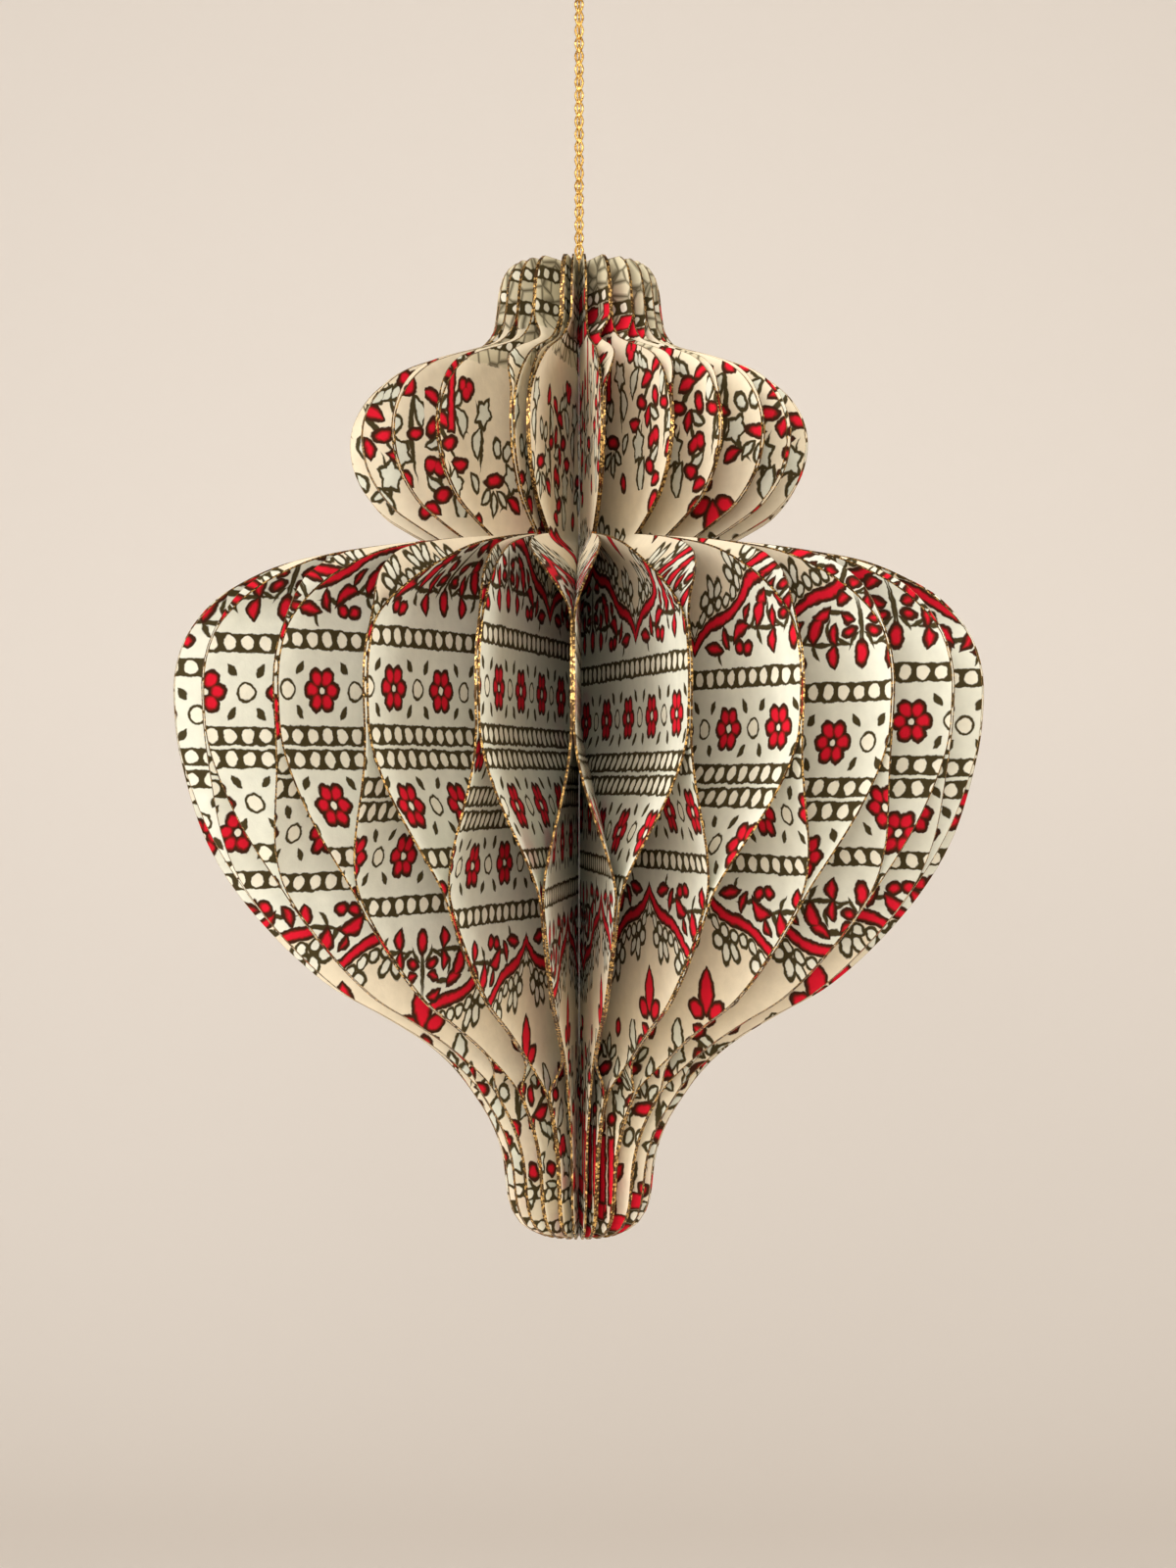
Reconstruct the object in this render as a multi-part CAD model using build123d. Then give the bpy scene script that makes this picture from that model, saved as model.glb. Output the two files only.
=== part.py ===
from build123d import *
import os
from math import ceil, radians, sin, tan

# Hanging ornament of printed paper, cut in one outline and opened out like a honeycomb.
# Forty-eight leaves stand round a hollow spine. Each is glued to one neighbour in the stem,
# the bulb and the neck, and to its other neighbour in the lower flank and the lobe, so the
# leaves swing from side to side and open into tall pointed cells. A thin cord comes up out
# of the spine and ends in a knot and a loop. All sizes are in millimetres, and the part
# hangs from the origin, the inside of the top of the loop, with the front of it along -Y.

# Paper and spine
leaf_count = 48
paper_thickness = 0.3
glue_line = 0.04
overrun = 3.0

# Outline of a leaf: radii from the axis, heights from the tip of the stem
overall_height = 150.2
waist_height = 106.6
stem_height = 12.0
tip_radius = 6.4
tip_edge_radius = 10.9
tip_edge_height = 5.0
stem_radius = 11.9
bulb_radius = 62.1
waist_radius = 22.5
lobe_radius = 35.3
neck_radius = 12.6
top_radius = 10.4

# Bends of the bulb's shoulder and of the lobe, as shares of what the shorter edge beside
# each leaves room for. They are cut as short straight edges that each turn by up to one
# cut_turn. The other corners are cut sharp.
shoulder_bend_share = 0.31
lobe_bend_share = 0.74
cut_turn = 20.0

# Corners of the outline. Radius is a share of the bulb's or the lobe's, and height is a
# share of the way from tip to waist or from waist to top.
flare_shares = ((0.261, 0.200), (0.395, 0.284), (0.620, 0.362))
flank_shares = ((0.850, 0.503), (0.934, 0.589), (0.994, 0.694))
shoulder_shares = (1.013, 0.826)
crown_shares = ((0.895, 0.921), (0.773, 0.959), (0.628, 0.978))
lobe_foot_shares = (0.867, 0.112)
lobe_shares = (1.125, 0.390)
lobe_top_shares = ((0.708, 0.624), (0.436, 0.684))
neck_height_share = 0.892

# Glued bands. Heights are shares of the way from tip to waist, or from waist to top.
# Turns are how far each glued pair stands off its even place, as shares of the pitch of
# the pairs, for the pairs from first_turned_pair on. Pair 0 is the seam at the front.
first_turned_pair = -4
stem_band_shares = (0.0, 0.216)
stem_turn_shares = (0.05, 0.0, 0.05, 0.0, 0.02, -0.12, -0.17, -0.07, 0.0, 0.03, 0.0)
flank_band_shares = (0.281, 0.497)
flank_turn_shares = (0.10, 0.20, 0.23, 0.16, -0.12, -0.22, -0.13, -0.08, -0.05, 0.0, 0.04)
bulb_band_shares = (0.732, 0.863)
bulb_turn_shares = (0.07, 0.26, 0.22, 0.20, -0.04, -0.09, -0.09, -0.08, -0.09, -0.09, -0.09)
lobe_band_shares = (0.01, 0.49)
lobe_turn_shares = (0.17, 0.19, 0.52, -0.29, -0.13, -0.02, -0.15, -0.20, -0.42, -0.25, -0.07)
neck_band_shares = (0.79, 1.0)
neck_turn_shares = (0.0, -0.07, -0.15, 0.30, 0.0, 0.55, 0.70, 0.50, 0.27, 0.07, 0.0)
stem_seam_share = 0.38
neck_seam_share = 0.34
wander_share = 0.10
wander_step = 137.5

# Folds between two bands fan out from one point of the spine. Reach is the radius where a
# fold's height is measured, as a share of the bulb's or the lobe's radius. Each fold has its
# share of the way down to the next band, and of the swing to that band's direction.
stem_reach_share = 0.29
flank_reach_share = 0.85
bulb_reach_share = 0.93
lobe_reach_share = 0.80
plain_fold_shares = ((0.0, 0.0), (1.0, 1.0))
eased_fold_shares = ((0.0, 0.0), (0.28, 0.15), (0.72, 0.85), (1.0, 1.0))

# Cord, its two knots and its loop
cord_diameter = 1.5
knot_height = 5.0
knot_face_radius = 1.9
loop_knot_radius = 2.7
loop_knot_drop = 32.0
ornament_drop = 85.0
anchor_knot_depth = 4.5
anchor_clearance = 0.15
knot_end_share = 0.28
leg_offset = 1.0
cord_bend_share = 0.45

# Worked out from the sizes above
leaf_pitch = 360 / leaf_count
pair_pitch = 2 * leaf_pitch
pair_count = leaf_count // 2
spine_radius = (paper_thickness + glue_line) / 2 / sin(radians(leaf_pitch / 2))
sheet_depth = paper_thickness / sin(radians(90 - leaf_pitch / 2))
head_height = overall_height - waist_height
sheet_reach = bulb_radius - spine_radius + overrun
head_reach = lobe_radius - spine_radius + overrun
front_azimuth = -90
tip_level = -(ornament_drop + overall_height)

# Route of the loop, as x and z from the origin, up one leg and down the other
loop_route = [
    (-leg_offset, -loop_knot_drop),
    (-leg_offset, -25.0),
    (-5.4, 0.75),
    (5.4, 0.75),
    (leg_offset, -25.0),
    (leg_offset, -loop_knot_drop),
]


def body_corner(shares, bend_share=0):
    radius_share, height_share = shares
    return (bulb_radius * radius_share, waist_height * height_share, bend_share)


def head_corner(shares, bend_share=0):
    radius_share, height_share = shares
    return (lobe_radius * radius_share, waist_height + head_height * height_share, bend_share)


def widest_bend(before, corner, after):
    """The bend that uses up the shorter of a corner's two edges, and the corner's turn."""
    turn = (corner - before).get_angle(after - corner)
    shorter = min((corner - before).length, (after - corner).length)
    return shorter / tan(radians(turn / 2)), turn


def rounded_corner(before, corner, after, bend_share):
    """Points of a corner that is rounded off by short straight cuts."""
    widest, turn = widest_bend(before, corner, after)
    rounded = FilletPolyline(before, corner, after, radius=widest * bend_share)
    arc = rounded.edges().filter_by(GeomType.CIRCLE)[0]
    cuts = ceil(turn / cut_turn)
    return [arc @ (cut / cuts) for cut in range(cuts + 1)]


def outline_plate():
    """The outline that every leaf is cut to, as a thick plate square to the leaf."""
    corners = [
        (tip_radius, 0, 0),
        (tip_edge_radius, tip_edge_height, 0),
        (stem_radius, stem_height, 0),
    ]
    corners += [body_corner(shares) for shares in (*flare_shares, *flank_shares)]
    corners.append(body_corner(shoulder_shares, shoulder_bend_share))
    corners += [body_corner(shares) for shares in crown_shares]
    corners.append((waist_radius, waist_height, 0))
    corners.append(head_corner(lobe_foot_shares))
    corners.append(head_corner(lobe_shares, lobe_bend_share))
    corners += [head_corner(shares) for shares in lobe_top_shares]
    corners.append((neck_radius, waist_height + head_height * neck_height_share, 0))
    corners.append((top_radius, overall_height, 0))
    places = [Vector(radius - spine_radius, height) for radius, height, bend_share in corners]
    points = [Vector(-overrun, 0), places[0]]
    for number in range(1, len(corners) - 1):
        bend_share = corners[number][2]
        if bend_share:
            points += rounded_corner(*places[number - 1 : number + 2], bend_share)
        else:
            points.append(places[number])
    points += [places[-1], Vector(-overrun, overall_height)]
    with BuildSketch(Plane.XZ) as sketch:
        with BuildLine():
            Polyline(*points, close=True)
        make_face()
    print("outline points", len(points), "widest", max(point.X for point in points) + spine_radius)
    return extrude(sketch.sketch, amount=sheet_reach, both=True)


# Bands from the neck down: lowest and highest level, turns, whether the seam's own two
# leaves are a pair there, and how far those two stand apart
bands = [
    (
        waist_height + head_height * neck_band_shares[0],
        waist_height + head_height * neck_band_shares[1] + overrun,
        neck_turn_shares,
        True,
        neck_seam_share,
    ),
    (
        waist_height + head_height * lobe_band_shares[0],
        waist_height + head_height * lobe_band_shares[1],
        lobe_turn_shares,
        False,
        0,
    ),
    (
        waist_height * bulb_band_shares[0],
        waist_height * bulb_band_shares[1],
        bulb_turn_shares,
        True,
        0,
    ),
    (
        waist_height * flank_band_shares[0],
        waist_height * flank_band_shares[1],
        flank_turn_shares,
        False,
        0,
    ),
    (
        waist_height * stem_band_shares[0] - overrun,
        waist_height * stem_band_shares[1],
        stem_turn_shares,
        True,
        stem_seam_share,
    ),
]

# Between each band and the next one down: the reach where the folds' heights are measured,
# the reach of the sheet, and the folds
fans = [
    (lobe_radius * lobe_reach_share - spine_radius, head_reach, plain_fold_shares),
    (bulb_radius * bulb_reach_share - spine_radius, sheet_reach, eased_fold_shares),
    (bulb_radius * flank_reach_share - spine_radius, sheet_reach, eased_fold_shares),
    (bulb_radius * stem_reach_share - spine_radius, sheet_reach, plain_fold_shares),
]


def leaf_swing(leaf, band):
    """Angle from a leaf's slot in the spine to the direction it takes in a band."""
    low, high, turn_shares, with_seam, seam_share = band
    pair = (leaf + 1) // 2 if with_seam else leaf // 2
    place = pair * pair_pitch if with_seam else (pair * 2 + 1) * leaf_pitch
    if pair > pair_count / 2:
        pair -= pair_count
    entry = pair - first_turned_pair
    if 0 <= entry < len(turn_shares):
        turn_share = turn_shares[entry]
    else:
        turn_share = wander_share * sin(radians(pair * wander_step))
    if pair == 0:
        turn_share += seam_share if leaf == 0 else -seam_share
    slot = (leaf + 1 / 2) * leaf_pitch
    return place + turn_share * pair_pitch - slot


def sheet_point(swing, reach, level):
    return Vector(reach, reach * tan(radians(swing)), level)


def leaf_panels(leaf):
    """Flat panels of a leaf from the top down: a band, then the fan of folds under it."""
    swings = [leaf_swing(leaf, band) for band in bands]
    spine_level = edge_level = bands[0][1]
    edge_reach = fans[0][1]
    panels = []
    for number, (reach, outer_reach, folds) in enumerate(fans):
        top, bottom = bands[number][0], bands[number + 1][1]
        spine, next_spine = Vector(0, 0, spine_level), Vector(0, 0, top)
        edge = sheet_point(swings[number], edge_reach, edge_level)
        panels.append([spine, edge, sheet_point(swings[number], edge_reach, top), next_spine])
        edge = sheet_point(swings[number], outer_reach, top)
        for drop_share, swing_share in folds[1:]:
            swing = swings[number] + (swings[number + 1] - swings[number]) * swing_share
            edge_level = top + (bottom - top) * drop_share * outer_reach / reach
            next_edge = sheet_point(swing, outer_reach, edge_level)
            panels.append([next_spine, edge, next_edge])
            edge = next_edge
        edge_reach, spine_level = outer_reach, top
    foot = bands[-1][0]
    last_edge = sheet_point(swings[-1], edge_reach, foot)
    panels.append([Vector(0, 0, spine_level), edge, last_edge, Vector(0, 0, foot)])
    return panels


def leaf_solid(leaf, plate):
    """One leaf: its folded sheet, cut to the outline and turned to its slot."""
    start = Vector(0, -sheet_depth / 2, 0)
    through = Vector(0, sheet_depth, 0)
    slabs = []
    for panel in leaf_panels(leaf):
        face = Face(Wire.make_polygon([point + start for point in panel], close=True))
        slabs.append(Solid.extrude(face, through))
    sheet = slabs[0].fuse(*slabs[1:])
    cut = sheet.intersect(plate)
    slot_azimuth = front_azimuth + (leaf + 1 / 2) * leaf_pitch
    place = Pos(0, 0, tip_level) * Rot(0, 0, slot_azimuth) * Pos(spine_radius, 0, 0)
    return place * cut.solids()[0]


def cord_tube(points, radii):
    """A round cord along straight runs joined by arcs."""
    with BuildLine() as route:
        if radii:
            FilletPolyline(*points, radius=radii)
        else:
            Line(*points)
    with BuildPart() as tube:
        with BuildSketch(route.line ^ 0):
            Circle(cord_diameter / 2)
        sweep(path=route.line)
    return tube.part


def route_radii(points):
    """The largest bend that each corner's two runs leave room for."""
    radii = []
    for before, here, after in zip(points, points[1:], points[2:]):
        radii.append(cord_bend_share * widest_bend(before, here, after)[0])
    print("loop bends", [round(radius, 2) for radius in radii])
    return radii


def knot(radius, top_level):
    """A pulled-tight knot as a barrel, narrowing to a flat end where the cord meets it."""
    end = knot_height * knot_end_share
    foot_level = top_level - knot_height
    with BuildPart() as barrel:
        with BuildSketch(Plane.XZ):
            with BuildLine():
                Polyline(
                    (0, top_level),
                    (knot_face_radius, top_level),
                    (radius, top_level - end),
                    (radius, foot_level + end),
                    (knot_face_radius, foot_level),
                    (0, foot_level),
                    close=True,
                )
            make_face()
        revolve(axis=Axis.Z)
    return barrel.part


os.makedirs("parts", exist_ok=True)

plate = outline_plate()
for leaf in range(leaf_count):
    export_step(leaf_solid(leaf, plate), f"parts/leaf_{leaf + 1:02d}.step")

anchor_top = -(ornament_drop + anchor_knot_depth)
export_step(knot(spine_radius - anchor_clearance, anchor_top), "parts/anchor_knot.step")
export_step(knot(loop_knot_radius, -loop_knot_drop), "parts/loop_knot.step")

cord_points = [Vector(0, 0, -loop_knot_drop - knot_height), Vector(0, 0, anchor_top)]
export_step(cord_tube(cord_points, []), "parts/hanging_cord.step")

loop_points = [Vector(x, 0, z) for x, z in loop_route]
export_step(cord_tube(loop_points, route_radii(loop_points)), "parts/cord_loop.step")
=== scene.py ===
import math
import bpy
from mathutils import Matrix, Vector


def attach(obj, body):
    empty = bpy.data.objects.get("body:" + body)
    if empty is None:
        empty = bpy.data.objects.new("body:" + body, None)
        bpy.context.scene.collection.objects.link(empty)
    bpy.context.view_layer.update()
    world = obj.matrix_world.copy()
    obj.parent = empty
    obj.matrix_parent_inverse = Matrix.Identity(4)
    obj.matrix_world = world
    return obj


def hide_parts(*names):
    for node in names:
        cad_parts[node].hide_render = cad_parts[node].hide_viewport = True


# Hanging honeycomb ornament of printed card. Sizes in the dictionaries are in millimetres,
# those of the lamps and the backdrop in metres.
mm = 0.001

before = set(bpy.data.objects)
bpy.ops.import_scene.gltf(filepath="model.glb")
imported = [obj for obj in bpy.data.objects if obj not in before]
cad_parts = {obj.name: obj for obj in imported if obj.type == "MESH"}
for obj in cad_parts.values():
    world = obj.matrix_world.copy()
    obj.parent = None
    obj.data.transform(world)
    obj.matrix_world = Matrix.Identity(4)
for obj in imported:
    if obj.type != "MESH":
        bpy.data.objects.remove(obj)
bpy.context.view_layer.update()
bpy.ops.object.select_all(action="DESELECT")
print("loaded", len(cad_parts), "parts")


def linearColour(hexColour):
    channels = []
    for start in (1, 3, 5):
        value = int(hexColour[start:start + 2], 16) / 255
        channels.append(value / 12.92 if value <= 0.04045 else ((value + 0.055) / 1.055) ** 2.4)
    return (*channels, 1.0)


def addNode(tree, kind, settings, feeds, output=0):
    # one node with its settings, its links and its fixed values
    node = tree.nodes.new(kind)
    for name, value in settings.items():
        setattr(node, name, value)
    for socket, feed in feeds.items():
        if isinstance(feed, bpy.types.NodeSocket):
            tree.links.new(feed, node.inputs[socket])
        else:
            node.inputs[socket].default_value = feed
    return node.outputs[output] if node.outputs else node


def startMaterial(name):
    material = bpy.data.materials.new(name)
    material.use_nodes = True
    material.node_tree.nodes.clear()
    return material, material.node_tree


def selectOnly(*items):
    bpy.ops.object.select_all(action="DESELECT")
    for item in items:
        item.select_set(True)
    bpy.context.view_layer.objects.active = items[0]


def closeMaterial(tree, values, height, sockets):
    # the surface itself, with a fine bump
    bump = addNode(
        tree, "ShaderNodeBump", {},
        {"Strength": values["bumpStrength"], "Distance": values["bumpDepth"], "Height": height},
    )
    surface = addNode(tree, "ShaderNodeBsdfPrincipled", {}, {**sockets, "Normal": bump})
    addNode(tree, "ShaderNodeOutputMaterial", {}, {"Surface": surface})


def makeGold(name, values):
    # bright gold among dull in random grains: painted glints, the bright grains standing in for
    # grains that catch the light
    material, tree = startMaterial(name)
    place = addNode(tree, "ShaderNodeTexCoord", {}, {}, "Object")
    height = None
    if "fibreScale" in values:
        height = addNode(
            tree, "ShaderNodeTexNoise", {},
            {0: place, "Scale": values["fibreScale"], "Detail": values["fibreDetail"]},
        )
    grain = addNode(
        tree, "ShaderNodeTexVoronoi", {}, {0: place, "Scale": values["grainScale"]}, "Color"
    )
    # painted glints: a random share of the grains gets the bright colour, whichever way it faces
    glint = addNode(tree, "ShaderNodeRGBToBW", {}, {0: grain})
    bright = addNode(
        tree, "ShaderNodeMath", {"operation": "MULTIPLY_ADD", "use_clamp": True},
        {0: glint, 1: values["glint"][0], 2: values["glint"][1]},
    )
    colour = addNode(
        tree, "ShaderNodeMixRGB", {},
        {0: bright, 1: linearColour(values["dull"]), 2: linearColour(values["bright"])},
    )
    closeMaterial(tree, values, height or glint, {
        "Base Color": colour, "Metallic": values["metallic"], "Roughness": values["roughness"],
    })
    return material


# Camera, light and backdrop

# fitted to the photo: level, and looking along Y
cameraSet = {
    "place": (1.373, -389.0, -165.4), "tilt": 90, "lens": 57.375, "sensor": 36.0, "near": 10.0,
}

bpy.ops.object.camera_add(
    location=Vector(cameraSet["place"]) * mm, rotation=(math.radians(cameraSet["tilt"]), 0, 0)
)
camera = bpy.context.object
camera.name = "photoCamera"
camera.data.lens = cameraSet["lens"]
camera.data.sensor_width = cameraSet["sensor"]
camera.data.clip_start = cameraSet["near"] * mm
bpy.context.scene.camera = camera
bpy.context.scene.view_settings.view_transform = "Standard"

# a window on the left, a lamp beside the camera and a fill from the right, all large and soft
lampSet = {
    "window": {"place": (-0.54, -0.66, 0.16), "size": 0.6, "power": 6.9, "colour": "#FAFCFF"},
    "front": {"place": (-0.08, -0.90, 0.04), "size": 0.5, "power": 5.2, "colour": "#FFFFFF"},
    "fill": {"place": (0.70, -0.50, 0.0), "size": 0.6, "power": 4.3, "colour": "#FFFEFC"},
}
lampTarget = (0, 0, -0.16)
skySet = {"strength": 0.35, "colour": "#FFE8CC"}

for name, values in lampSet.items():
    place = Vector(values["place"])
    aim = (Vector(lampTarget) - place).to_track_quat("-Z", "Y").to_euler()
    bpy.ops.object.light_add(type="AREA", location=place, rotation=aim)
    lamp = bpy.context.object
    lamp.name = name + "Light"
    lamp.data.shape = "DISK"
    lamp.data.size = values["size"]
    lamp.data.energy = values["power"]
    lamp.data.color = linearColour(values["colour"])[:3]

world = bpy.data.worlds.new("paleRoom")
bpy.context.scene.world = world
world.use_nodes = True
world.node_tree.nodes.clear()
skyLight = addNode(
    world.node_tree, "ShaderNodeBackground", {},
    {"Color": linearColour(skySet["colour"]), "Strength": skySet["strength"]},
)
addNode(world.node_tree, "ShaderNodeOutputWorld", {}, {"Surface": skyLight})

backdropSet = {
    "floor": -0.46, "wall": 0.95, "width": 3.2, "front": -1.3, "top": 1.5,
    "bend": 0.35, "bendSteps": 16, "touching": 0.001,
    "paint": "#EFEAE4", "roughness": 0.95, "specular": 0.1,
}


def pickCorner(sheet):
    # selects, in edit mode, only the edge where floor and wall meet
    values = backdropSet
    bpy.ops.object.mode_set(mode="EDIT")
    bpy.ops.mesh.select_mode(type="EDGE")
    bpy.ops.mesh.select_all(action="DESELECT")
    bpy.ops.object.mode_set(mode="OBJECT")
    for edge in sheet.data.edges:
        ends = [sheet.data.vertices[number].co for number in edge.vertices]
        atWall = all(abs(end.y - values["wall"]) < values["touching"] for end in ends)
        onFloor = all(abs(end.z - values["floor"]) < values["touching"] for end in ends)
        edge.select = atWall and onFloor
    bpy.ops.object.mode_set(mode="EDIT")


def makeBackdrop():
    # floor and wall in one sheet with a wide bend between them
    values = backdropSet
    depth = values["wall"] - values["front"]
    bpy.ops.mesh.primitive_plane_add(size=1, location=(0, 0, 0))
    sheet = bpy.context.object
    sheet.name = "paleBackdrop"
    for vertex in sheet.data.vertices:
        vertex.co.x *= values["width"]
        vertex.co.y = values["front"] + depth * (vertex.co.y + 0.5)
        vertex.co.z = values["floor"]
    pickCorner(sheet)
    bpy.ops.mesh.extrude_region_move(
        TRANSFORM_OT_translate={"value": (0, 0, values["top"] - values["floor"])}
    )
    pickCorner(sheet)
    bpy.ops.mesh.bevel(offset=values["bend"], segments=values["bendSteps"], profile=0.5)
    bpy.ops.object.mode_set(mode="OBJECT")
    bpy.ops.object.shade_smooth()
    # flat emulsion: an even warm white without gloss, so that only the light shades it
    material, tree = startMaterial("paleWallPaint")
    paint = addNode(
        tree, "ShaderNodeBsdfPrincipled", {},
        {"Base Color": linearColour(values["paint"]), "Roughness": values["roughness"],
         "Specular IOR Level": values["specular"]},
    )
    addNode(tree, "ShaderNodeOutputMaterial", {}, {"Surface": paint})
    sheet.data.materials.append(material)


makeBackdrop()
print("camera, lights and backdrop made")


# Cord: knitted gold chain with a rib down its middle

cordSet = {
    "diameter": 1.5,
    "strand": 0.40,
    "strandRoundness": 1,
    "stitch": 2.0,
    "steps": 14,
    "routeSteps": 24,
    # how far the rib and the side strands swing to the front and back in each stitch
    "ribDepth": 0.16,
    "sideDepth": 0.12,
    # how far the side strands keep from the middle
    "sideNear": 0.22,
    "sideFar": 0.56,
    # the routes: straight down to the knot in the spine, and round the loop
    "drop": [(0, 0, -37.0), (0, 0, -89.5)],
    "loop": [
        (-1.0, 0, -32.0), (-1.0, 0, -25.0), (-5.4, 0, 0.75),
        (5.4, 0, 0.75), (1.0, 0, -25.0), (1.0, 0, -32.0),
    ],
}

# lurex: metallised film wound on thread; its metal reflects the lamps, and painted glints make
# random grains bright, brown between
threadSet = {
    "fibreScale": 4200.0, "fibreDetail": 2.0, "grainScale": 3800.0, "glint": (1.5, -0.35),
    "dull": "#9A6C22", "bright": "#F3CF7C", "bumpStrength": 0.5, "bumpDepth": 0.0001,
    "metallic": 0.75, "roughness": 0.34,
}
goldThread = makeGold("goldLurexThread", threadSet)


def finishPiece(piece, name, nodes):
    piece.name = name
    piece.data.name = name
    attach(piece, "root")
    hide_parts(*nodes)
    return piece


def routeLine(points):
    # the smooth line of a route, read back from its NURBS spline
    curve = bpy.data.curves.new("route", "CURVE")
    curve.dimensions = "3D"
    curve.resolution_u = cordSet["routeSteps"]
    spline = curve.splines.new("NURBS")
    spline.points.add(len(points) - 1)
    for point, place in zip(spline.points, points):
        point.co = (*(Vector(place) * mm), 1)
    spline.order_u = 3
    spline.use_endpoint_u = True
    carrier = bpy.data.objects.new("route", curve)
    bpy.context.scene.collection.objects.link(carrier)
    bpy.context.view_layer.update()
    mesh = bpy.data.meshes.new_from_object(carrier)
    line = [vertex.co.copy() for vertex in mesh.vertices]
    bpy.data.objects.remove(carrier)
    bpy.data.meshes.remove(mesh)
    return line


def lineLength(line):
    return sum((after - before).length for before, after in zip(line, line[1:]))


def spreadEvenly(line, steps):
    # places at equal steps along a line of points
    lengths = [0.0]
    for before, after in zip(line, line[1:]):
        lengths.append(lengths[-1] + (after - before).length)
    places, piece = [], 0
    for step in range(steps + 1):
        reach = lengths[-1] * step / steps
        while piece < len(line) - 2 and lengths[piece + 1] < reach:
            piece += 1
        share = (reach - lengths[piece]) / (lengths[piece + 1] - lengths[piece])
        places.append(line[piece].lerp(line[piece + 1], share))
    return places


def strandTube(places, thickness, name, closed=False):
    curve = bpy.data.curves.new(name, "CURVE")
    curve.dimensions = "3D"
    curve.bevel_depth = thickness / 2
    curve.bevel_resolution = cordSet["strandRoundness"]
    curve.use_fill_caps = not closed
    spline = curve.splines.new("POLY")
    spline.points.add(len(places) - 1)
    for point, place in zip(spline.points, places):
        point.co = (*place, 1)
    spline.use_cyclic_u = closed
    tube = bpy.data.objects.new(name, curve)
    bpy.context.scene.collection.objects.link(tube)
    selectOnly(tube)
    bpy.ops.object.convert(target="MESH")
    bpy.ops.object.shade_smooth()
    return bpy.context.object


def makeChainCord(name, points, node):
    # a rib down the middle with scalloped loops on both sides, which leave small holes
    values = cordSet
    route = routeLine(points)
    spacing = values["stitch"] / values["steps"] * mm
    line = spreadEvenly(route, max(2, round(lineLength(route) / spacing)))
    stitches = max(1, round((len(line) - 1) / values["steps"]))
    backward = Vector((0, 1, 0))
    strands = {"rib": [], "left": [], "right": []}
    for number, place in enumerate(line):
        ahead = line[min(number + 1, len(line) - 1)] - line[max(number - 1, 0)]
        across = ahead.normalized().cross(backward)
        phase = math.pi * stitches * number / (len(line) - 1)
        swing = abs(math.sin(phase))
        reach = values["sideNear"] + (values["sideFar"] - values["sideNear"]) * swing
        depth = backward * math.cos(2 * phase)
        strands["rib"].append(place - depth * values["ribDepth"] * mm)
        strands["left"].append(place - across * reach * mm + depth * values["sideDepth"] * mm)
        strands["right"].append(place + across * reach * mm + depth * values["sideDepth"] * mm)
    tubes = [strandTube(places, values["strand"] * mm, name) for places in strands.values()]
    selectOnly(*tubes)
    bpy.ops.object.join()
    cord = tubes[0]
    cord.data.materials.append(goldThread)
    return finishPiece(cord, name, [node]), line


knotSet = {
    "steps": 90, "rounds": 2, "crossings": 3,
    "anchor": {"level": -92.0, "reach": 1.15, "swell": 0.55, "rise": 1.75, "cord": 1.3},
    "loop": {"level": -34.5, "reach": 1.25, "swell": 0.65, "rise": 1.75, "cord": 1.5},
}


def makeKnot(name, values, node):
    # a pulled-tight overhand knot, round which the cord goes twice
    places = []
    for step in range(knotSet["steps"]):
        angle = 2 * math.pi * step / knotSet["steps"]
        around, weave = knotSet["rounds"] * angle, knotSet["crossings"] * angle
        reach = values["reach"] + values["swell"] * math.cos(weave)
        places.append(Vector((
            reach * math.cos(around),
            reach * math.sin(around),
            values["level"] + values["rise"] * math.sin(weave),
        )) * mm)
    tube = strandTube(places, values["cord"] * mm, name, closed=True)
    tube.data.materials.append(goldThread)
    return finishPiece(tube, name, [node])


hangingCord, cordLine = makeChainCord("hangingCord", cordSet["drop"], "hanging_cord")
loopCord, loopLine = makeChainCord("loopCord", cordSet["loop"], "cord_loop")
loopKnot = makeKnot("loopKnot", knotSet["loop"], "loop_knot")
makeKnot("anchorKnot", knotSet["anchor"], "anchor_knot")
print("cord, loop and knots made")


# Leaves: the blank that all of them are cut to

leafSet = {
    "count": 48,
    "thickness": 0.30,
    "spineRadius": 2.599,
    "tipLevel": -235.2,
    "height": 150.2,
    "columns": 13,
    # rows of faces in the body and the head, and the steps of the smooth line between points
    "rows": (84, 50),
    "lineSteps": 12,
    # the outermost column of faces: how wide, and the least slope it allows for
    "rimColumn": 0.6,
    "leastSlope": 0.22,
    # how far from the cut edge its distance is kept in the edge map
    "edgeReach": 3.0,
    "smoothAngle": 40,
    # radius and height of the cut edge, from the tip of the stem to the waist and on up
    "body": [
        (6.2, 0.0), (9.2, 1.7), (11.0, 5.2), (11.9, 12.0), (13.6, 17.0), (16.2, 21.3),
        (20.0, 26.4), (24.5, 30.3), (31.2, 34.5), (38.5, 38.7), (46.0, 45.4), (52.9, 53.6),
        (58.1, 62.8), (61.5, 74.0), (62.4, 81.5), (62.2, 87.0), (60.4, 92.2), (56.6, 97.0),
        (52.4, 100.0), (46.6, 102.6), (39.0, 104.3), (30.6, 105.6), (22.5, 106.6),
    ],
    "head": [
        (22.5, 106.6), (27.0, 109.1), (30.8, 111.7), (34.0, 116.0), (35.3, 120.6),
        (34.9, 125.0), (32.6, 129.1), (29.2, 132.0), (25.0, 133.8), (20.2, 135.3),
        (15.9, 136.9), (13.7, 139.2), (12.9, 142.4), (12.5, 146.0), (11.7, 148.8),
        (10.2, 150.2),
    ],
}

# millimetres in one unit of the two maps: the print's, and the distance from the cut edge
printScale = 100.0
edgeScale = 10.0


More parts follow.
